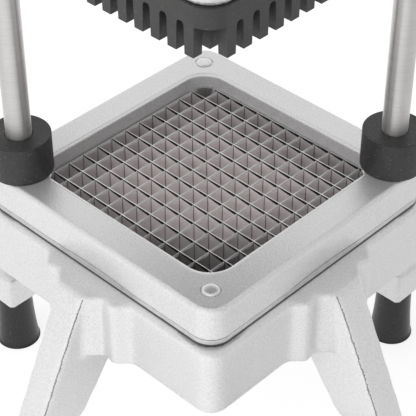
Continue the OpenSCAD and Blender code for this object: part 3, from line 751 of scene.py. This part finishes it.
def scooped(vertex):
    """Moves a point of the ring's turned mesh to where the finger scoops leave it."""
    x, y, z = vertex.co
    out, along = (x, y) if abs(x) > abs(y) else (y, x)
    inset = RING_HALF - abs(out)
    below = z - (RING_BOTTOM - SCOOP_DROP)
    across = SCOOP_RADIUS ** 2 - along ** 2 - below ** 2
    if across <= 0 or inset > 2 * FILLET:
        return
    depth = SCOOP_DISH - SCOOP_RADIUS + math.sqrt(across)
    blended = SCOOP_SOFT * math.log(math.exp(inset / SCOOP_SOFT) + math.exp(depth / SCOOP_SOFT))
    share = (RING_HALF - blended) / abs(out)
    vertex.co = (x * share, y, z) if abs(x) > abs(y) else (x, y * share, z)


def build_ring():
    """The clamp ring: a soft outer edge, a fine groove round its opening, and finger scoops."""
    side_low, side_high = RING_BOTTOM + RING_BREAK, RING_TOP - FILLET
    outside = [(RING_HALF - RING_BREAK, RING_R - RING_BREAK, RING_BOTTOM), (RING_HALF, RING_R, side_low)]
    for row in range(1, SIDE_ROWS + 1):
        outside.append((RING_HALF, RING_R, side_low + (side_high - side_low) * row / SIDE_ROWS))
    for step in range(1, FILLET_STEPS + 1):
        angle = math.radians(90) * step / FILLET_STEPS
        inset = FILLET * (1 - math.cos(angle))
        outside.append((RING_HALF - inset, RING_R - inset, RING_TOP - FILLET * (1 - math.sin(angle))))
    inside = [(OPENING_HALF + away, OPENING_R + away, RING_TOP + drop) for away, drop in OPENING_EDGE]
    inside.append((OPENING_HALF, OPENING_R, RING_BOTTOM))
    shape = swept(outside + inside)
    for vertex in shape.verts:
        scooped(vertex)
    bmesh.ops.rotate(shape, cent=(0, 0, 0), matrix=EIGHTH_TURN.to_3x3(), verts=shape.verts)
    piece = finish_mesh(shape, "clamp_ring_finished")
    bores = bmesh.new()
    for x in (-ROD_X, ROD_X):
        add_post(bores, x, 0, ROD_BORE, RING_BOTTOM - BEYOND, RING_TOP + BEYOND)
    for y in (-STUD_Y, STUD_Y):
        add_post(bores, 0, y, STUD_BORE, RING_BOTTOM - BEYOND, RING_TOP - SINK_DEPTH / 2)
    cutters = [bores]
    sink = STUD_COLLAR + SINK_FIT
    sink_profile = [(0, RING_TOP - SINK_DEPTH), (sink, RING_TOP - SINK_DEPTH), (sink, RING_TOP - SINK_BREAK),
                    (sink + SINK_BREAK, RING_TOP), (sink + SINK_BREAK, RING_TOP + BEYOND),
                    (0, RING_TOP + BEYOND)]
    for y in (-STUD_Y, STUD_Y):
        cutters.append(lathe(sink_profile, Vector((0, y, 0)), BORE_STEPS))
    cut(piece, cutters)
    piece.data.shade_smooth()
    piece.data.set_sharp_from_angle(angle=math.radians(SMOOTH_DEG))
    weigh_normals(piece)
    adopt(piece, "clamp_ring")


# A foot's radii as shares of its half width, and its heights and radii in metres from its underside
FOOT_RIM, FOOT_SHOULDER, FOOT_WAIST = 0.965, 0.955, 0.80
FOOT_CURVE = 1.9
FOOT_ROWS = 14
FOOT_BREAK = 0.0003
RIM_HEIGHT, RIM_END, WALL_LOW = 0.0009, 0.0014, 0.0016
WALL_DROP = 0.001
TOP_ROUND = ((0.0004, 0.0003), (0.0011, 0.0))
FOOT_RECESS, FOOT_HOLE = 0.0070, 0.0031
RECESS_SHARE = 0.6


def foot_profile(wide, tall):
    """A foot from its recess over its rim and waist to the hole down its middle."""
    waist = wide * FOOT_WAIST
    profile = [(FOOT_RECESS, 0), (wide - FOOT_BREAK, 0), (wide, FOOT_BREAK), (wide, RIM_HEIGHT),
               (wide * FOOT_RIM, RIM_END)]
    for row in range(FOOT_ROWS + 1):
        share = row / FOOT_ROWS
        radius = waist + (wide * FOOT_SHOULDER - waist) * (1 - share) ** FOOT_CURVE
        profile.append((radius, WALL_LOW + share * (tall - WALL_LOW - WALL_DROP)))
    profile += [(waist - inset, tall - drop) for inset, drop in TOP_ROUND]
    return profile + [(FOOT_HOLE, tall), (FOOT_HOLE, tall * RECESS_SHARE), (FOOT_RECESS, tall * RECESS_SHARE)]


def build_feet():
    """The four rubber feet, which spread towards the table."""
    for node in ("foot_front_left", "foot_front_right", "foot_back_left", "foot_back_right"):
        low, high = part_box(node)
        turned(node, foot_profile((high.x - low.x) / 2, high.z - low.z), middle_of(node))


# The strips. The ground edge is scalloped between each two crossings and rounds off at its far end
SCALLOP_STEPS = 10
ROUND_FROM = 0.88
ROUND_LENGTH = 0.12
SCALLOP_CURVE = 0.6
TAB_GAP = 0.0001
TOP_BAND = 0.002
# For each set: its ground edge's finish, the way it turns, how far in the edge is ground, and its
# least and greatest depth
STRIPS = {"blades_lower_set": (GROUND_EDGE, 1, 0.00044, 0.0004, 0.0016),
          # The upper set's ground edge finish is painted shade
          "blades_upper_set": (GROUND_EDGE_PAINTED_SHADE, -1, 0.00016, 0.0005, 0.0017)}


def strip_path(low, tab_z, top_z, reach, top_reach, slots, slot_half, slot_z, slots_open_up):
    """A strip's outline from its side: (x, z, depth of the ground edge, or None off the top)."""
    path = [(-reach, low, None)]
    if not slots_open_up:
        for at in slots:
            path += [(at - slot_half, low, None), (at - slot_half, slot_z, None),
                     (at + slot_half, slot_z, None), (at + slot_half, low, None)]
    path.append((reach, low, None))
    if reach > top_reach:
        path += [(reach, tab_z, None), (top_reach, tab_z, None)]
    stops = [-top_reach] + slots + [top_reach]
    for left, right in reversed(list(zip(stops, stops[1:]))):
        start = left + slot_half if left > -top_reach else left
        end = right - slot_half if right < top_reach else right
        for step in range(SCALLOP_STEPS, -1, -1):
            share = step / SCALLOP_STEPS
            path.append((start + (end - start) * share, top_z, share))
        if slots_open_up and left > -top_reach:
            path += [(left + slot_half, slot_z, None), (left - slot_half, slot_z, None)]
    if reach > top_reach:
        path += [(-top_reach, tab_z, None), (-reach, tab_z, None)]
    return path


def ground_depth(share, least, most):
    """How deep the scalloped edge is ground between two crossings, with a round far end."""
    rounding = math.sqrt(max(0.0, 1 - max(0.0, (share - ROUND_FROM) / ROUND_LENGTH) ** 2))
    return least + (most - least) * share ** SCALLOP_CURVE * rounding


def add_strip(shape, path, row, thick, edge_in, least, most):
    """One strip along X at Y = row, ground on its -Y side. The ground faces take the second finish,
    and the narrow honed faces beside them the third."""
    flat, ridge, ground = [], [], []
    for x, z, share in path:
        flat.append(shape.verts.new((x, row + thick / 2, z)))
        if share is None:
            side = shape.verts.new((x, row - thick / 2, z))
            ridge.append(side)
            ground.append(side)
        else:
            depth = ground_depth(share, least, most)
            ridge.append(shape.verts.new((x, row - thick / 2 + edge_in * depth / most, z)))
            ground.append(shape.verts.new((x, row - thick / 2, z - depth)))
    shape.faces.new(list(reversed(flat)))
    shape.faces.new(ground)
    for now in range(len(path)):
        after = (now + 1) % len(path)
        band = [flat[now], flat[after], ridge[after], ridge[now]]
        on_top = path[now][2] is not None, path[after][2] is not None
        if on_top[0] and on_top[1]:
            shape.faces.new((ridge[now], ridge[after], ground[after], ground[now])).material_index = 1
        elif on_top[1]:
            band.insert(3, ground[after])
        elif on_top[0]:
            band.append(ground[now])
        shape.faces.new(band).material_index = 2 if on_top[0] and on_top[1] else 0


def build_blades():
    """The strips of both sets, with an edge ground in a scallop between each two crossings."""
    tab_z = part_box("blade_frame")[1].z - TAB_GAP
    slot_z = (GRID_TOP + GRID_BOTTOM) / 2
    for node, (edge_finish, sign, edge_in, least, most) in STRIPS.items():
        turn = Matrix.Rotation(EIGHTH * sign, 4, "Z")
        back = turn.inverted()
        corners = [back @ vertex.co for vertex in nodes[node].data.vertices]
        faces = sorted({round(place.y, 6) for place in corners})
        rows = [(low + high) / 2 for low, high in zip(faces[::2], faces[1::2])]
        thick = faces[1] - faces[0]
        top_z = max(place.z for place in corners)
        low = min(place.z for place in corners)
        shape = bmesh.new()
        for row in rows:
            own = [place for place in corners if abs(place.y - row) < thick]
            reach = max(place.x for place in own)
            top_reach = max(place.x for place in own if place.z > top_z - TOP_BAND)
            slots = [at for at in rows if abs(at) < top_reach]
            slots_open_up = sign > 0 and reach > top_reach
            slot_end = slot_z - BLADE_FIT if slots_open_up else slot_z + BLADE_FIT
            path = strip_path(low, tab_z, top_z, reach, top_reach, slots, thick / 2 + BLADE_FIT,
                              slot_end, slots_open_up)
            add_strip(shape, path, row, thick, edge_in, least, most)
        bmesh.ops.recalc_face_normals(shape, faces=shape.faces)
        bmesh.ops.transform(shape, matrix=turn, verts=shape.verts)
        mesh = bpy.data.meshes.new(node + "_finished")
        shape.to_mesh(mesh)
        shape.free()
        adopt(bpy.data.objects.new(node + "_finished", mesh), node, [edge_finish, HONED_EDGE])


# Pieces that only have their edges broken: the width, the steps round it and the nodes
BROKEN_EDGES = [
    (0.0005, 3, ("bumper_left", "bumper_right")),
    (0.00022, 2, ("rod_washers", "rod_nuts", "thumb_nut_front", "thumb_nut_back",
                  "block_washers", "block_screws", "stop_washers", "cap_nuts")),
    (0.0003, 2, ("guide_rod_left", "guide_rod_right")),
]


def build_fittings():
    """Turned and moulded pieces with lightly broken edges."""
    for width, segments, fittings in BROKEN_EDGES:
        for node in fittings:
            edged(node, width, segments)


STUD_BREAK = 0.0005
DOME_RADIUS = 0.0041
DOME_FOOT = 0.0006
DOME_STEPS = 8
DOME_RISE, DOME_ROUND = 0.9, 0.8


def build_studs():
    """The retaining studs with a wide flattened dome that nearly fills its sink."""
    low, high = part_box("retaining_studs")
    reach = high.y - STUD_COLLAR
    stem = STUD_BORE - SINK_FIT
    profile = [(0, low.z), (stem - STUD_BREAK, low.z), (stem, low.z + STUD_BREAK),
               (stem, RING_TOP - SINK_DEPTH), (STUD_COLLAR, RING_TOP - SINK_DEPTH),
               (STUD_COLLAR, RING_TOP - DOME_FOOT), (DOME_RADIUS, RING_TOP - DOME_FOOT)]
    for step in range(DOME_STEPS):
        angle = math.radians(90) * step / DOME_STEPS
        rise = (high.z - RING_TOP) * math.sin(angle) ** DOME_RISE
        profile.append((DOME_RADIUS * math.cos(angle) ** DOME_ROUND, RING_TOP + rise))
    profile.append((0, high.z))
    shape = lathe(profile, Vector((0, -reach, 0)))
    lathe(profile, Vector((0, reach, 0)), shape=shape)
    for face in shape.faces:
        face.material_index = 1
    adopt(finish_mesh(shape, "retaining_studs_finished", TURNED_DEG), "retaining_studs", [STUD_STEEL])


BLOCK_BREAK = 0.00025
GRIP_BREAK = 0.0004


def build_head():
    """The cast push head, its block and its grip."""
    cast("push_head", HEAD_VOXEL, HEAD_ROUNDS)
    edged("push_block", BLOCK_BREAK)
    edged("handle_grip", GRIP_BREAK)


def dress_rest():
    """What is left as it is gets its finish and smooth shading."""
    for node, piece in nodes.items():
        if piece.hide_render or node.startswith("blades_"):
            continue
        piece.data.materials.clear()
        piece.data.materials.append(MATERIALS[slot_of[node]])
        piece.data.shade_smooth()
        piece.data.set_sharp_from_angle(angle=math.radians(SMOOTH_DEG))


# Camera, floor and light. The camera looks straight at CENTRE_ROW of the picture
CAMERA_PLACE = (-0.0098, -0.5511, 0.6141)
CAMERA_PITCH_DEG = 39.08
CAMERA_YAW_DEG = 1.06
FOCAL_PIXELS = 1448.2
PICTURE_PIXELS = 416
CENTRE_ROW = 209.5
SENSOR_MM = 36.0
CLIP_START = 0.01


def build_camera():
    """The camera of the picture, worked out from the places of known points in it."""
    data = bpy.data.cameras.new("camera")
    data.sensor_width = SENSOR_MM
    data.lens = FOCAL_PIXELS / PICTURE_PIXELS * SENSOR_MM
    data.shift_y = (CENTRE_ROW - PICTURE_PIXELS / 2) / PICTURE_PIXELS
    data.clip_start = CLIP_START
    camera = bpy.data.objects.new("camera", data)
    camera.location = CAMERA_PLACE
    camera.rotation_euler = (math.radians(90 - CAMERA_PITCH_DEG), 0, math.radians(-CAMERA_YAW_DEG))
    bpy.context.scene.collection.objects.link(camera)
    bpy.context.scene.camera = camera


WHITE = (1, 1, 1, 1)


def seen_directly(add, rays):
    """1 for the rays that show a surface to the camera, straight or in metal and glass."""
    shown = rays.outputs["Is Camera Ray"]
    for kind in ("Is Glossy Ray", "Is Transmission Ray"):
        shown = calculate(add, "MAXIMUM", shown, rays.outputs[kind])
    return shown


# Brightness of the white studio round the object as polished metal shows it: share of a turn
# from the right over the back, and the grey there
STUDIO = [(0.0, 0.70), (0.12, 0.88), (0.25, 1.0), (0.42, 0.94), (0.52, 0.84), (0.60, 0.98),
          (0.72, 1.0), (0.78, 0.86), (0.86, 0.62), (1.0, 0.70)]


def studio_shade(add, direction):
    """The studio's grey in a direction seen from the object's middle, and the direction's height."""
    axes = add("ShaderNodeSeparateXYZ", {0: direction})
    angle = calculate(add, "ARCTAN2", axes.outputs["Y"], axes.outputs["X"])
    share = calculate(add, "DIVIDE", angle, 2 * math.pi)
    ramp = add("ShaderNodeValToRGB", {"Fac": calculate(add, "FRACT", share)})
    ramp.color_ramp.interpolation = "EASE"
    stops = ramp.color_ramp.elements
    while len(stops) < len(STUDIO):
        stops.new(0.5)
    for stop, (place, level) in zip(stops, STUDIO):
        stop.position = place
        stop.color = (level, level, level, 1)
    return ramp.outputs["Color"], axes.outputs["Z"]


def white_to_camera(add, rays, shade):
    """White for the camera's own rays, and the studio's shade for the rest."""
    return blend_colour(add, rays.outputs["Is Camera Ray"], shade, WHITE)


FLOOR_HALF = 3.0
FLOOR_LIT = (0.82, 0.82, 0.82, 1)
FLOOR_SEEN = (0.42, 0.42, 0.42, 1)
FLOOR_GLOW = 0.73


def build_floor():
    """A white floor that still takes the object's shadow."""
    shape = bmesh.new()
    bmesh.ops.create_grid(shape, x_segments=1, y_segments=1, size=FLOOR_HALF)
    mesh = bpy.data.meshes.new("floor")
    shape.to_mesh(mesh)
    shape.free()
    floor = bpy.data.objects.new("floor", mesh)
    bpy.context.scene.collection.objects.link(floor)
    made = bpy.data.materials.new("floor")
    made.use_nodes = True
    made.node_tree.nodes.clear()
    add = adder(made.node_tree)
    rays = add("ShaderNodeLightPath")
    shade = studio_shade(add, add("ShaderNodeTexCoord").outputs["Object"])[0]
    lit = add("ShaderNodeBsdfDiffuse", {"Color": FLOOR_LIT})
    seen = add("ShaderNodeBsdfDiffuse", {"Color": FLOOR_SEEN})
    glow = add("ShaderNodeEmission", {"Color": white_to_camera(add, rays, shade), "Strength": FLOOR_GLOW})
    whiter = add("ShaderNodeAddShader", {0: seen.outputs[0], 1: glow.outputs[0]})
    chosen = add("ShaderNodeMixShader", {"Fac": seen_directly(add, rays), 1: lit.outputs[0],
                                         2: whiter.outputs[0]})
    add("ShaderNodeOutputMaterial", {"Surface": chosen.outputs[0]})
    mesh.materials.append(made)


OVERHEAD_SHADE = 0.84
OVERHEAD_FROM, OVERHEAD_TO = 0.1, 1.0
FILL_STRENGTH = 0.6


def build_world():
    """A white studio: even light on the object, and the studio's shades in its metal."""
    world = bpy.data.worlds.new("world")
    bpy.context.scene.world = world
    world.use_nodes = True
    world.node_tree.nodes.clear()
    add = adder(world.node_tree)
    rays = add("ShaderNodeLightPath")
    shade, height = studio_shade(add, add("ShaderNodeTexCoord").outputs["Generated"])
    overhead = spread(add, height, 1.0, OVERHEAD_SHADE, OVERHEAD_FROM, OVERHEAD_TO)
    shade = blend_colour(add, 1.0, shade, overhead, blend_type="MULTIPLY")
    fill = add("ShaderNodeBackground", {"Color": WHITE, "Strength": FILL_STRENGTH})
    white = add("ShaderNodeBackground", {"Color": white_to_camera(add, rays, shade), "Strength": 1.0})
    chosen = add("ShaderNodeMixShader", {"Fac": seen_directly(add, rays), 1: fill.outputs[0],
                                         2: white.outputs[0]})
    add("ShaderNodeOutputWorld", {"Surface": chosen.outputs[0]})


KEY_PLACE, KEY_TARGET = (-1.1, -1.5, 1.25), (0, 0, 0.2)
KEY_SIZE = 1.6
KEY_WATTS = 22


def build_light():
    """A wide soft lamp at the front left, which metal doesn't mirror."""
    data = bpy.data.lights.new("key", "AREA")
    data.shape = "SQUARE"
    data.size = KEY_SIZE
    data.energy = KEY_WATTS
    lamp = bpy.data.objects.new("key", data)
    lamp.location = KEY_PLACE
    lamp.rotation_euler = (Vector(KEY_TARGET) - Vector(KEY_PLACE)).to_track_quat("-Z", "Y").to_euler()
    lamp.visible_glossy = False
    bpy.context.scene.collection.objects.link(lamp)


bpy.context.scene.view_settings.view_transform = "Standard"
build_camera()
build_floor()
build_world()
build_light()
build_base()
build_posts()
build_ring()
build_feet()
build_blades()
build_fittings()
build_studs()
build_head()
dress_rest()
